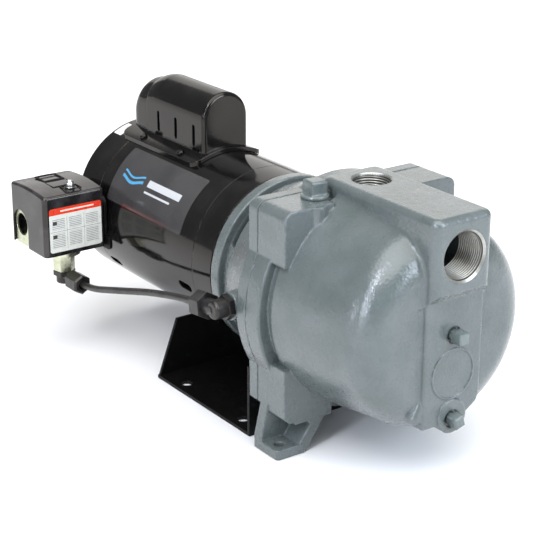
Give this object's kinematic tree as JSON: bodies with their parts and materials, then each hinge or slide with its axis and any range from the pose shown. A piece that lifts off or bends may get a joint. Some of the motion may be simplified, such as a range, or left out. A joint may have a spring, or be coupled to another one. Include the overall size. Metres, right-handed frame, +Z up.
{
  "type": "shallow well jet pump",
  "caption": "Shallow well jet pump: cast casing with threaded suction and discharge ports, a close coupled capacitor motor, a pressure switch and a folded base.",
  "frame": {"origin": "centre of the base bracket's rectangle of bolt holes, on the floor under the shaft", "axes": "+X along the shaft from the motor to the suction port, +Y across the pump, +Z up towards the discharge port"},
  "size_m": [0.4915, 0.2535, 0.259],
  "materials": {
    "casting_paint": "semi-gloss grey enamel over sand cast iron",
    "motor_paint": "gloss black enamel",
    "bracket_paint": "satin black enamel",
    "plated_steel": "zinc plated",
    "painted_plug": "grey enamel over a steel plug",
    "zinc_yellow": "pale yellow zinc",
    "steel": "machined",
    "laminations": "varnished silicon steel laminations",
    "copper": "enamelled copper windings",
    "cast_aluminium": "as cast",
    "black_plastic": "black moulded plastic",
    "switch_plastic": "glossy black moulded plastic",
    "grey_plastic": "glass filled plastic",
    "white_plastic": "natural acetal",
    "rubber": "black rubber",
    "ceramic": "ceramic",
    "brass": "turned",
    "can_metal": "drawn"
  },
  "bodies": {
    "pump_frame": {"pump_casing": "casting_paint", "motor_adapter": "casting_paint", "flange_bolts": "plated_steel", "casing_ring": "rubber", "diffuser": "grey_plastic", "diffuser_ring": "rubber", "venturi_tube": "grey_plastic", "jet_nozzle": "brass", "seal_seat": "ceramic", "motor_shell": "motor_paint", "front_bell": "motor_paint", "rear_bell": "motor_paint", "rear_cover": "motor_paint", "rear_cover_screws": "plated_steel", "through_bolts": "steel", "stator_core": "laminations", "stator_windings": "copper", "front_bearing_outer": "steel", "rear_bearing_outer": "steel", "start_switch": "grey_plastic", "capacitor_can": "can_metal", "capacitor_clamp": "plated_steel", "capacitor_cover": "motor_paint", "capacitor_cover_screws": "motor_paint", "base_bracket": "bracket_paint", "switch_frame": "zinc_yellow", "lever_pin": "steel", "diaphragm": "rubber", "diaphragm_cup": "zinc_yellow", "range_stud": "plated_steel", "range_spring": "steel", "range_nut": "plated_steel", "contact_block": "grey_plastic", "switch_bracket": "bracket_paint", "conduit_nipple": "plated_steel", "nipple_locknuts": "plated_steel", "switch_elbow": "black_plastic", "casing_elbow": "black_plastic", "compression_nuts": "black_plastic", "pressure_tube": "black_plastic"},
    "rotor": {"motor_shaft": "steel", "rotor_core": "laminations", "rotor_fan_rings": "cast_aluminium", "impeller": "grey_plastic", "seal_head": "steel", "seal_spring": "steel", "water_slinger": "rubber", "front_bearing_inner": "steel", "rear_bearing_inner": "steel", "governor_hub": "plated_steel"},
    "governor_collar": {"governor_collar": "white_plastic"},
    "front_cage": {"front_bearing_balls": "steel"},
    "rear_cage": {"rear_bearing_balls": "steel"},
    "contact_lever": {"contact_lever": "plated_steel"},
    "plunger": {"plunger": "white_plastic"},
    "switch_cover": {"switch_cover": "switch_plastic"},
    "cover_nut": {"cover_nut": "plated_steel"},
    "priming_plug": {"priming_plug": "painted_plug"},
    "gauge_plug": {"gauge_plug": "painted_plug"},
    "drain_plug": {"drain_plug": "painted_plug"}
  },
  "joints": [
    {"name": "rotor_spin", "type": "hinge", "parent": "pump_frame", "child": "rotor", "pos_m": [0, 0, 0.1233], "axis": [1, 0, 0], "continuous": true},
    {"name": "governor_slide", "type": "slide", "parent": "rotor", "child": "governor_collar", "axis": [-1, 0, 0], "range_m": [0, 0.0035], "stiffness_N_per_m": 300},
    {"name": "front_cage_spin", "type": "hinge", "parent": "pump_frame", "child": "front_cage", "pos_m": [-0.014, 0, 0.1233], "axis": [1, 0, 0], "continuous": true},
    {"name": "rear_cage_spin", "type": "hinge", "parent": "pump_frame", "child": "rear_cage", "pos_m": [-0.203, 0, 0.1233], "axis": [1, 0, 0], "continuous": true},
    {"name": "lever_tilt", "type": "hinge", "parent": "pump_frame", "child": "contact_lever", "pos_m": [-0.238, -0.117, 0.115], "axis": [0, -1, 0], "range_deg": [0, 3], "stiffness_Nm_per_rad": 2, "springref_deg": -0.57, "deforming": ["range_spring"]},
    {"name": "plunger_lift", "type": "slide", "parent": "pump_frame", "child": "plunger", "axis": [0, 0, 1], "range_m": [0, 0.0017]},
    {"name": "switch_cover_lift", "type": "slide", "parent": "pump_frame", "child": "switch_cover", "axis": [0, 0, 1], "range_m": [0, 0.075]},
    {"name": "cover_nut_lift", "type": "slide", "parent": "switch_cover", "child": "cover_nut", "axis": [0, 0, 1], "range_m": [0, 0.015]},
    {"name": "priming_plug_lift", "type": "slide", "parent": "pump_frame", "child": "priming_plug", "axis": [0, 0, 1], "range_m": [0, 0.03]},
    {"name": "gauge_plug_pull", "type": "slide", "parent": "pump_frame", "child": "gauge_plug", "axis": [1, 0, 0], "range_m": [0, 0.025]},
    {"name": "drain_plug_pull", "type": "slide", "parent": "pump_frame", "child": "drain_plug", "axis": [1, 0, 0], "range_m": [0, 0.025]}
  ],
  "couplings": [
    {"joint": "front_cage_spin", "follows": "rotor_spin", "ratio": 0.3807},
    {"joint": "rear_cage_spin", "follows": "rotor_spin", "ratio": 0.3807},
    {"joint": "plunger_lift", "follows": "lever_tilt", "m_per_rad": 0.0315}
  ]
}
